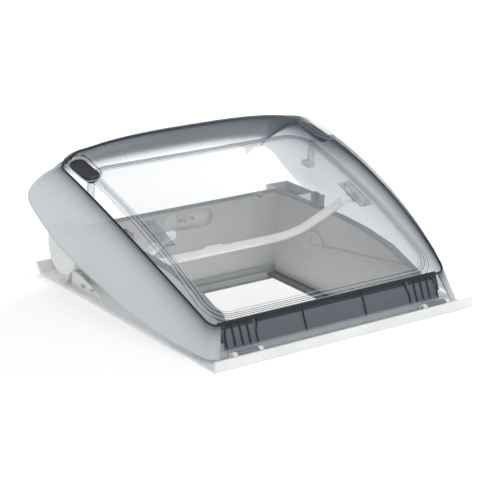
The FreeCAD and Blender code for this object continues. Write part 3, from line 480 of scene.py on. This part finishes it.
def tube_mesh(name, points, radius, closed=False, sides=12):
    """A round tube along a line of points."""
    points = [Vector(p) for p in points]
    count = len(points)
    turns = [2 * math.pi * k / sides for k in range(sides)]
    rings = []
    normal = Vector((0, 0, 1))
    for i, point in enumerate(points):
        before = points[(i - 1) % count] if closed or i > 0 else point
        after = points[(i + 1) % count] if closed or i < count - 1 else point
        along = (after - before).normalized()
        normal = (normal - along * normal.dot(along)).normalized()
        across = along.cross(normal)
        rings.append([point + across * radius * math.cos(turn) + normal * radius * math.sin(turn)
                      for turn in turns])
    return loft_mesh(name, rings, closed=closed)


def join_meshes(name, meshes):
    """One mesh of several; the meshes it is made from go away."""
    made = bmesh.new()
    for mesh in meshes:
        made.from_mesh(mesh)
        bpy.data.meshes.remove(mesh)
    done = bpy.data.meshes.new(name)
    made.to_mesh(done)
    made.free()
    done.shade_smooth()
    done.set_sharp_from_angle(angle=math.radians(SHARP_EDGE))
    return done


# ---------------------------------------------------------------- dome shape, in millimetres
CREASE_FRONT = (34.0, 36.5)
CREASE_REAR = (419.0, 137.0)
CREASE_RADIUS = 1150.0
CREASE_HALF = 245.0
CREASE_WIDEST = 310.0
CREASE_DRAW_FRONT = 25.5
CREASE_DRAW_REAR = 3.0
CROWN_LOW = 2.0
CROWN_HIGH = 36.0
CROWN_FULL_AT = 400.0
CROWN_LEAN = 0.15
CROWN_FULLNESS = 3.0
CROWN_RAMP = 1.6
FOOT_HALF = 248.5
FOOT_DRAW = 10.5
FOOT_WIDE_AT = 170.0
FOOT_CUT = -26.0
WALL = 3.2
FRONT_BACK = 30.0
REAR_BACK = 428.0
CORNER_FRONT = 16.0
CORNER_REAR = 24.0
REAR_BULGE = 50.0
BULGE_START = 250.0
BULGE_LOSS = 0.3
LEANS = ((30.0, 0.60), (62.0, 0.34), (110.0, 0.12), (170.0, 0.0), (240.0, -0.18),
         (310.0, -0.42), (370.0, -0.54), (402.0, -0.56), (428.0, -0.58))
FOOT_LINE = ((-20.0, -3.0), (12.0, -3.5), (76.0, -7.0), (134.0, -9.6), (185.0, -9.4),
             (236.0, -7.2), (279.0, -2.5), (325.0, 1.6), (367.0, 7.5), (416.0, 17.5),
             (460.0, 32.0), (500.0, 50.0), (530.0, 78.0), (560.0, 120.0))
ARCH_HALF = 196.0
ARCH_LOW = 44.0
ARCH_TOP = 92.0


def smooth_line(pairs):
    """A natural cubic spline through (place, value) pairs, as a function."""
    xs = np.array([p[0] for p in pairs])
    ys = np.array([p[1] for p in pairs])
    n = len(xs)
    gap = np.diff(xs)
    rows = np.eye(n)
    right = np.zeros(n)
    for i in range(1, n - 1):
        rows[i, i - 1] = gap[i - 1]
        rows[i, i] = 2 * (gap[i - 1] + gap[i])
        rows[i, i + 1] = gap[i]
        right[i] = 6 * ((ys[i + 1] - ys[i]) / gap[i] - (ys[i] - ys[i - 1]) / gap[i - 1])
    bend = np.linalg.solve(rows, right)

    def value(x):
        i = int(np.clip(np.searchsorted(xs, x) - 1, 0, n - 2))
        a = (xs[i + 1] - x) / gap[i]
        b = (x - xs[i]) / gap[i]
        curve = ((a ** 3 - a) * bend[i] + (b ** 3 - b) * bend[i + 1]) * gap[i] ** 2 / 6
        return a * ys[i] + b * ys[i + 1] + curve

    return value


lean_at = smooth_line(LEANS)
foot_at = smooth_line(FOOT_LINE)


def crease_up(back):
    """The crease's height, on an arc through its front and rear."""
    y1, z1 = CREASE_FRONT
    y2, z2 = CREASE_REAR
    back = min(max(back, y1), REAR_BACK)
    chord = math.hypot(y2 - y1, z2 - z1)
    drop = math.sqrt(CREASE_RADIUS ** 2 - (chord / 2) ** 2)
    middle_y = (y1 + y2) / 2 + (z2 - z1) / chord * drop
    middle_z = (z1 + z2) / 2 - (y2 - y1) / chord * drop
    return middle_z + math.sqrt(CREASE_RADIUS ** 2 - (back - middle_y) ** 2)


def crease_half(back):
    """Half the crease's width, which narrows a little to the rear and more to the front."""
    if back > CREASE_WIDEST:
        share = (back - CREASE_WIDEST) / (CREASE_REAR[0] - CREASE_WIDEST)
        return CREASE_HALF - CREASE_DRAW_REAR * share ** 2
    share = (CREASE_WIDEST - back) / (CREASE_WIDEST - CREASE_FRONT[0])
    return CREASE_HALF - CREASE_DRAW_FRONT * share ** 2.2


def foot_half(back):
    """Half the width at the lowest foot line, before it is cut to its sweep."""
    return FOOT_HALF - FOOT_DRAW * max(0.0, (FOOT_WIDE_AT - back) / FOOT_WIDE_AT) ** 2


def crown(back):
    """How far the top swells above the crease, growing from front to rear."""
    share = min(1.0, max(0.0, (back - CREASE_FRONT[0]) / (CROWN_FULL_AT - CREASE_FRONT[0])))
    return CROWN_LOW + (CROWN_HIGH - CROWN_LOW) * (1 - (1 - share) ** CROWN_RAMP)


def bulge(back, fall):
    """How far the rear skirt swells backwards part of the way down; fall runs from 0 to 1."""
    near_rear = min(1.0, max(0.0, (back - BULGE_START) / (REAR_BACK - BULGE_START))) ** 2
    return REAR_BULGE * near_rear * math.sin(math.pi * fall)


def corner_draw(back):
    """How far the section draws in where the dome's ends round over."""
    for distance, radius in ((back - FRONT_BACK, CORNER_FRONT), (REAR_BACK - back, CORNER_REAR)):
        if distance < radius:
            return radius - math.sqrt(max(0.0, radius ** 2 - (radius - distance) ** 2))
    return 0.0


def dome_point(x, back, up):
    """From the dome's own millimetres, measured from its hinge, to the scene's metres."""
    c, s = math.cos(REST_OPEN), math.sin(REST_OPEN)
    return Vector((x * MM, HINGE.y + (back * c - up * s) * MM, HINGE.z + (back * s + up * c) * MM))


def crown_line(back, steps=48):
    """The dome's upper edge at one section, from the left crease over the top to the right."""
    draw = corner_draw(back)
    rise = crease_up(back)
    half = crease_half(back) - draw
    swell = crown(back) - draw * 0.35
    shoulder = min(16.0, 4.0 + 0.04 * back)
    lift = min(shoulder, swell)
    flat = half - 0.6 * shoulder
    start = 0.85 * lift
    right = [(half, 0.0), (half - 0.08 * shoulder, 0.45 * lift), (flat, start)]
    right += [(flat * s, start + (swell - start) * (1 - s ** CROWN_FULLNESS))
              for s in (0.88, 0.75, 0.6, 0.45, 0.22)]
    outline = [(-x, z) for x, z in right] + [(0.0, swell)] + right[::-1]
    places = np.cumsum([0.0] + [math.dist(a, b) for a, b in zip(outline, outline[1:])])
    line_x = smooth_line(list(zip(places, [p[0] for p in outline])))
    line_z = smooth_line(list(zip(places, [p[1] for p in outline])))
    tilt = lean_at(back) * CROWN_LEAN
    points = []
    for k in range(steps + 1):
        # more points near the two shoulders, where the line turns fastest
        share = 0.5 - 0.5 * math.cos(math.pi * k / steps)
        place = places[-1] * (0.55 * share + 0.45 * k / steps)
        x, z = line_x(place), max(0.0, line_z(place))
        points.append((x, back + tilt * z, rise + z))
    return points


def cut_share(at, limit):
    """How far down a line the limit cuts it, from 0 at its top to 1 at its end."""
    near, far = 0.0, 1.0
    for _ in range(30):
        middle = (near + far) / 2
        point = at(middle)
        if point[2] > limit(point):
            near = middle
        else:
            far = middle
    return near


def foot_limit(point):
    """The swept foot line of the skirts."""
    return foot_at(point[1])


def rear_limit(point):
    """The foot line, with the arch cut into the rear skirt between its two feet."""
    across = abs(point[0]) / ARCH_HALF
    if across < 1:
        return ARCH_LOW + (ARCH_TOP - ARCH_LOW) * math.sqrt(1 - across ** 4)
    return foot_limit(point)


def side_line(back, sign, steps=14):
    """The skirt at one section, from the crease down to the swept foot line."""
    draw = corner_draw(back)
    rise = crease_up(back)
    top = crease_half(back) - draw
    low = foot_half(back) - draw
    lean = lean_at(back)

    def at(t):
        up = rise + t * (FOOT_CUT - rise)
        return top + t * (low - top), back + lean * (up - rise) + bulge(back, t), up

    cut = cut_share(at, foot_limit)
    return [(sign * x, y, z) for x, y, z in (at(cut * k / steps) for k in range(steps + 1))]


def stations():
    """Section places from front to rear, closer together where the corners round over."""
    shares = [1 - math.cos(math.pi / 2 * k / 6) for k in range(7)]
    front = [FRONT_BACK + CORNER_FRONT * share for share in shares]
    rear = [REAR_BACK - CORNER_REAR * share for share in shares]
    middle = list(np.linspace(front[-1], rear[-1], 34))[1:-1]
    return front + middle + rear[::-1]


def end_rows(back, limit, steps=20):
    """An end face, ruled from the crown line down to the foot, stopped at a limit height."""
    upper = crown_line(back)
    rise = crease_up(back)
    low = foot_half(back) - corner_draw(back)
    drop = lean_at(back) * (FOOT_CUT - rise)
    rows = []
    for index, (x, y, z) in enumerate(upper):
        share = index / (len(upper) - 1)
        foot = np.array((-low + 2 * low * share, back + drop, FOOT_CUT))
        top = np.array((x, y, z))

        def at(fall):
            point = top + (foot - top) * fall
            # the middle, under the crown, swells less than the corners
            point[1] += bulge(back, fall) * (1 - BULGE_LOSS * (top[2] - rise) / CROWN_HIGH)
            return point

        cut = cut_share(at, limit)
        rows.append([at(cut * k / steps) for k in range(steps + 1)])
    return rows


def placed(rows):
    """Rows of the dome's own millimetres, as scene points."""
    return [[dome_point(*point) for point in row] for row in rows]


def faded(distance, middle, spread):
    """A soft step from 1 down to 0 as a distance passes its middle."""
    return 1.0 / (1.0 + math.exp((distance - middle) / spread))


def rear_mark(back):
    """Painted shade: how far the top darkens where the dome rolls over its rear edge, standing in
    for how the steep acrylic looks darker there.
    """
    return min(1.0, max(0.0, (back - 396.0) / 30.0)) ** 1.5


def rear_fall_mark(drop):
    """How the painted shade on the rear skirt fades down from its top edge; drop is in
    millimetres.
    """
    return faded(drop, 62.0, 5.0) * (0.8 + 0.18 * math.exp(-drop / 14.0))


def foot_mark(up):
    """Painted light: the front skirt pales in a band along its foot, where the lit white frame
    shows through; up is in millimetres.
    """
    return faded(up, 6.0, 1.0)


def crease_mark(fall):
    """Painted shade in a narrow band under the crease; fall is in millimetres."""
    return math.exp(-(fall / 12.0) ** 1.1)


def with_cap_holes(mesh):
    """Cut the two oval wells that the latch caps sit in."""
    cutters = []
    for sign in (-1, 1):
        cutter = layered("well", CAP_WELL)
        cutter.transform(cap_matrix(sign))
        cutters.append(cutter)
    tool = linked("cap_wells", join_meshes("cap_wells", cutters))
    body = linked("dome_cut", mesh)
    cut = body.modifiers.new("wells", "BOOLEAN")
    cut.operation = "DIFFERENCE"
    cut.solver = "EXACT"
    cut.object = tool
    done = baked_mesh(body, mesh.name)
    bpy.data.objects.remove(tool)
    return done


def make_dome(m):
    """The outer glazing as a tinted top and rear, a smoked front and two opal skirts."""
    backs = stations()
    lines = [crown_line(back) for back in backs]
    # painted shade along the rear edge of the top
    marks = [[rear_mark(back)] * len(line) for back, line in zip(backs, lines)]
    top = sheet_mesh("dome_top", placed(lines), WALL * MM, (0, 0, 1), marks=marks)
    top = with_cap_holes(top)
    new_object("dome_top", top, m["dome"], "dome", ("dome_shell",))
    for name, sign in (("left", -1), ("right", 1)):
        lines = [side_line(back, sign) for back in backs]
        # painted shade in a narrow band under the crease of each skirt
        marks = [[crease_mark(line[0][2] - point[2]) for point in line] for line in lines]
        skirt = sheet_mesh(f"skirt_{name}", placed(lines), WALL * MM, (sign, 0, 0), marks=marks,
                           looks=(m["skirt"], m["skirt_inside"]))
        new_object(f"dome_skirt_{name}", skirt, m["skirt"], "dome",
                   ("dome_shell",))
    lines = end_rows(REAR_BACK, rear_limit)
    # painted shade fading down the rear skirt
    marks = [[rear_fall_mark(line[0][2] - point[2]) for point in line] for line in lines]
    rear = sheet_mesh("dome_rear", placed(lines), WALL * MM, (0, 1, 0.5), marks=marks)
    new_object("dome_rear", rear, m["rear"], "dome", ("dome_shell",))
    lines = end_rows(FRONT_BACK, foot_limit)
    # painted light in a pale band along the front skirt's foot
    marks = [[foot_mark(point[2]) for point in line] for line in lines]
    front = sheet_mesh("dome_front", placed(lines), WALL * MM, (0, -1, 0), marks=marks)
    new_object("dome_front", front, m["front"], "dome", ("dome_shell",))


def make_crease_line(m):
    """The dark line moulded along the crease, round the front corners."""
    inset = 0.9
    sink = 0.5
    left = [dome_point(-(crease_half(b) - corner_draw(b) - inset), b + sink * 0.5,
                       crease_up(b) - sink) for b in stations()[::-1]]
    right = [Vector((-p.x, p.y, p.z)) for p in left[::-1]]
    mesh = tube_mesh("crease_line", left + right, 1.6 * MM)
    new_object("crease_line", mesh, m["rubber"], "dome", ("crease_bead",))


# ---------------------------------------------------------------- inner pane's edge
PANE_HALF = 204.0
PANE_FRONT = 46.0
PANE_REAR = 398.0
PANE_DROP = 5.5
PANE_CORNER = 34.0
LONG_SIDE = 60.0
# the light steps are painted highlights and the dark steps painted shade
PANE_STEPS = {
    # how far each moulded step stands outside the pane, its lift and its radius
    "light": ((-0.6, 0.6, 0.9), (-7.5, 0.5, 0.55), (5.0, -0.5, 0.7)),
    "dark": ((-3.6, 0.6, 0.5), (2.2, 0.2, 0.55), (8.5, -1.0, 0.5)),
}


def pane_outline(grow, lift, steps=8, along=14):
    """The pane's rounded outline, grown by a margin and lifted, as scene points."""
    half = PANE_HALF + grow
    front = PANE_FRONT - grow
    rear = PANE_REAR + grow
    radius = PANE_CORNER + grow
    centres = ((half - radius, rear - radius, 0), (-half + radius, rear - radius, 90),
               (-half + radius, front + radius, 180), (half - radius, front + radius, 270))
    flat = []
    for x, y, start in centres:
        for k in range(steps + 1):
            turn = math.radians(start + 90 * k / steps)
            flat.append((x + radius * math.cos(turn), y + radius * math.sin(turn)))
    points = []
    for a, b in zip(flat, flat[1:] + flat[:1]):
        parts = along if math.dist(a, b) > LONG_SIDE else 1
        for k in range(parts):
            x = a[0] + (b[0] - a[0]) * k / parts
            y = a[1] + (b[1] - a[1]) * k / parts
            points.append(dome_point(x, y, crease_up(y) - PANE_DROP + lift))
    return points


def make_pane_edge(m):
    """The bonded edge between the panes: a stack of moulded steps, the pale ones carrying a
    painted highlight and the dark ones painted shade.
    """
    for tone, steps in PANE_STEPS.items():
        name = f"pane_edge_{tone}"
        tubes = [tube_mesh("step", pane_outline(grow, lift), radius * MM, closed=True)
                 for grow, lift, radius in steps]
        new_object(name, join_meshes(name, tubes), m[f"line_{tone}"], "dome",
                   ("pane_rim",))


# ---------------------------------------------------------------- front ribs
RIB_SPOTS = (56.0, 143.0, 156.0, 169.0, 182.0)
KINKED_RIB = 143.0
CORNER_RIB = 197.0
RIB_GAP = 1.0
# top, height and radius
RIB_SHAPE = (33.5, 34.5, 1.35)
CORNER_RIB_SHAPE = (34.5, 36.0, 1.5)
LINER_HALF = 204.0
LINER_LOW = 10.0
LINER_TOP = 35.0
LINER_GAP = 1.6
LINER_WALL = 0.8


def behind_front(up):
    """The place just behind the front skirt's inner face, at that height."""
    return CREASE_FRONT[0] + LEANS[0][1] * (up - CREASE_FRONT[1]) + WALL + RIB_GAP


def rib_mesh(sign, spot, shape, slide):
    """One upright rib from its top down; slide says how far in it stands at each height."""
    top, high, radius = shape
    ups = [top - high * k / 8 for k in range(9)]
    line = [dome_point(sign * (spot - slide(up)), behind_front(up), up) for up in ups]
    return tube_mesh("rib", line, radius * MM)


def make_front_ribs(m):
    """Upright black ribs behind the front skirt, the outermost bending with the corner."""
    def straight(up):
        return 0.0

    def kinked(up):
        return 7.0 * max(0.0, (up - 16.0) / 17.5)

    def bending(up):
        return 9.0 * max(0.0, (up - 14.0) / 20.5) ** 2

    ribs = []
    for sign in (-1, 1):
        for spot in RIB_SPOTS:
            slide = kinked if spot == KINKED_RIB else straight
            ribs.append(rib_mesh(sign, spot, RIB_SHAPE, slide))
        ribs.append(rib_mesh(sign, CORNER_RIB, CORNER_RIB_SHAPE, bending))
    mesh = join_meshes("skirt_ribs", ribs)
    new_object("skirt_ribs", mesh, m["rubber"], "dome")
    rows = [[dome_point(x, behind_front(up) + LINER_GAP, up)
             for x in np.linspace(-LINER_HALF, LINER_HALF, 25)]
            for up in np.linspace(LINER_LOW, LINER_TOP, 6)]
    liner = sheet_mesh("skirt_liner", rows, LINER_WALL * MM, (0, -1, 0))
    new_object("skirt_liner", liner, m["liner"], "dome")


# ---------------------------------------------------------------- latch caps
CAP_X = 221.0
CAP_BACK = 378.0
CAP_RISE = 8.5
CAP_PITCH = 5.0
CAP_ROLL = 14.0
# half length, half width and height of each outline, from the lowest up
CAP_WELL = ((34.5, 15.0, -15.0), (34.5, 15.0, 40.0))
CAP_LAYERS = ((27.0, 8.0, -9.0), (31.5, 12.0, -4.0), (32.5, 13.0, -1.0), (32.5, 13.0, 0.6),
              (31.6, 12.1, 1.9), (29.5, 10.0, 2.6), (27.5, 8.0, 2.2), (22.0, 3.5, 1.9))
RIM_HALF_LONG = 35.5
RIM_HALF_WIDE = 16.0
RIM_HIGH = 1.2
RIM_RADIUS = 1.2


def stadium(half_long, half_wide, steps=10):
    """A slot-shaped outline about the origin, long in Y."""
    points = []
    for end, start in ((1, 0), (-1, 180)):
        for k in range(steps + 1):
            turn = math.radians(start + 180 * k / steps)
            points.append((half_wide * math.cos(turn),
                           end * (half_long - half_wide) + half_wide * math.sin(turn)))
    return points


def layered(name, outlines):
    """A closed solid through stacked outlines, each (half_long, half_wide, height)."""
    rings = [[(x, y, high) for x, y in stadium(long, wide)] for long, wide, high in outlines]
    return loft_mesh(name, rings, sharp=40.0)


def cap_matrix(sign):
    """From a cap's own millimetres to the scene, on the left for -1 and the right for 1."""
    place = dome_point(sign * CAP_X, CAP_BACK, crease_up(CAP_BACK) + CAP_RISE)
    turn = (Matrix.Rotation(REST_OPEN, 4, "X") @ Matrix.Rotation(math.radians(CAP_PITCH), 4, "X")
            @ Matrix.Rotation(math.radians(CAP_ROLL * sign), 4, "Y"))
    return Matrix.Translation(place) @ turn @ Matrix.Scale(MM, 4)


def make_latch_caps(m):
    """The dark oval caps over the latches, each in a clear rim."""
    for name, sign in (("left", -1), ("right", 1)):
        cap = layered("cap", CAP_LAYERS)
        cap.transform(cap_matrix(sign))
        new_object(f"latch_cap_dark_{name}", cap, m["cap"], "dome",
                   (f"latch_cap_{name}",))
        rim_line = [cap_matrix(sign) @ Vector((x, y, RIM_HIGH))
                    for x, y in stadium(RIM_HALF_LONG, RIM_HALF_WIDE, 14)]
        rim = tube_mesh("rim", rim_line, RIM_RADIUS * MM, closed=True)
        new_object(f"latch_cap_rim_{name}", rim, m["clear"], "dome")


# ---------------------------------------------------------------- bow handle
LEG_TOP = 166.0
LEG_FOOT = 160.0
BOW_LONG = 146.0
ELBOW_RADIUS = 44.0
BOW_HALF_WIDE = 10.0
BOW_HALF_THICK = 6.5
BOW_ANGLE = math.radians(-43.5)
HUB_SPOTS = (157.0, 168.0, 177.0, 178.6)
HUB_RADIUS = 6.8
OVAL_POWER = 0.85
GROOVE_HALF = 0.2
GROOVE_WIDTH = 0.94


def bow_point(x, along, up):
    """From the bow's own plane, measured from its pivot, to the scene's metres."""
    turn = REST_OPEN + BOW_ANGLE
    c, s = math.cos(turn), math.sin(turn)
    return Vector((x * MM, PIVOT.y + (along * c - up * s) * MM,
                   PIVOT.z + (along * s + up * c) * MM))


def bow_route():
    """The bow's centre line, from the top of its right leg to the top of its left."""
    foot = Vector((LEG_FOOT, BOW_LONG))
    top = Vector((LEG_TOP, 0.0))
    leg = (top - foot).normalized()
    half_turn = leg.angle(Vector((-1, 0))) / 2
    reach = ELBOW_RADIUS / math.tan(half_turn)
    centre = foot + (leg + Vector((-1, 0))).normalized() * (ELBOW_RADIUS / math.sin(half_turn))
    start = foot + leg * reach - centre
    end = foot + Vector((-reach, 0)) - centre
    right = [top + (foot + leg * reach - top) * k / 10 for k in range(10)]
    first = math.atan2(start.y, start.x)
    last = math.atan2(end.y, end.x)
    for k in range(13):
        turn = first + (last - first) * k / 12
        right.append(centre + Vector((math.cos(turn), math.sin(turn))) * ELBOW_RADIUS)
    left = [Vector((-p.x, p.y)) for p in right[::-1]]
    bar = [right[-1] + (left[0] - right[-1]) * k / 12 for k in range(1, 12)]
    return right + bar + left


def bow_section(steps=32):
    """The bar's section: a flattened oval with a fine parting groove at each edge."""
    def swelled(value):
        return math.copysign(abs(value) ** OVAL_POWER, value)

    points = []
    for k in range(steps):
        turn = 2 * math.pi * k / steps
        across = BOW_HALF_WIDE * swelled(math.cos(turn))
        up = BOW_HALF_THICK * swelled(math.sin(turn))
        if abs(up) < GROOVE_HALF:
            across *= GROOVE_WIDTH
        points.append((across, up))
    return points


def make_bow(m):
    """The bow as one gloss tube along its route, with a round hub at each end of its legs."""
    route = bow_route()
    section = bow_section()
    rings = []
    for i, point in enumerate(route):
        before = route[max(0, i - 1)]
        after = route[min(len(route) - 1, i + 1)]
        along = (after - before).normalized()
        across = Vector((along.y, -along.x))
        rings.append([bow_point(point.x + across.x * a, point.y + across.y * a, up)
                      for a, up in section])
    hubs = [tube_mesh("hub", [bow_point(sign * x, 0, 0) for x in HUB_SPOTS], HUB_RADIUS * MM)
            for sign in (-1, 1)]
    mesh = join_meshes("bow_tube", [loft_mesh("bow_tube", rings)] + hubs)
    new_object("bow_tube", mesh, m["bow"], "bow", ("bow_handle",))


# ---------------------------------------------------------------- blinds, in metres
FOLDS = 16
FOLD_MARGIN = 0.0004
SIDE_MARGIN = 0.001
CLOTH_THICK = 0.00012


def make_pleats(m):
    """Accordion pleats between each side wall and its pull bar, filling the box of the model's
    pleats.
    """
    for name, look, slot in (("screen", "mesh", "screen_mesh"), ("shade", "cloth", "shade_cloth")):
        low, high = (Vector(corner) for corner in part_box(f"{name}_pleats"))
        outer, inner = (high.x, low.x) if name == "screen" else (low.x, high.x)
        zigzag = []
        for k in range(2 * FOLDS + 1):
            x = outer + (inner - outer) * k / (2 * FOLDS)
            z = low.z + FOLD_MARGIN if k % 2 else high.z - FOLD_MARGIN
            zigzag.append((x, z))
        rows = [[Vector((x, y, z)) for x, z in zigzag]
                for y in np.linspace(low.y + SIDE_MARGIN, high.y - SIDE_MARGIN, 5)]
        mesh = sheet_mesh(f"{name}_cloth", rows, CLOTH_THICK, (0, 0, 1), sharp=20.0)
        piece = linked(f"{name}_cloth", mesh)
        mesh.materials.append(m[look])
        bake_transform(piece)
        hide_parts(f"{name}_pleats")


# ---------------------------------------------------------------- build
add_camera()
add_light()
add_stage()
materials = make_materials()
dress_nodes(materials)
make_dome(materials)
make_crease_line(materials)
make_pane_edge(materials)
make_front_ribs(materials)
make_latch_caps(materials)
make_bow(materials)
make_pleats(materials)
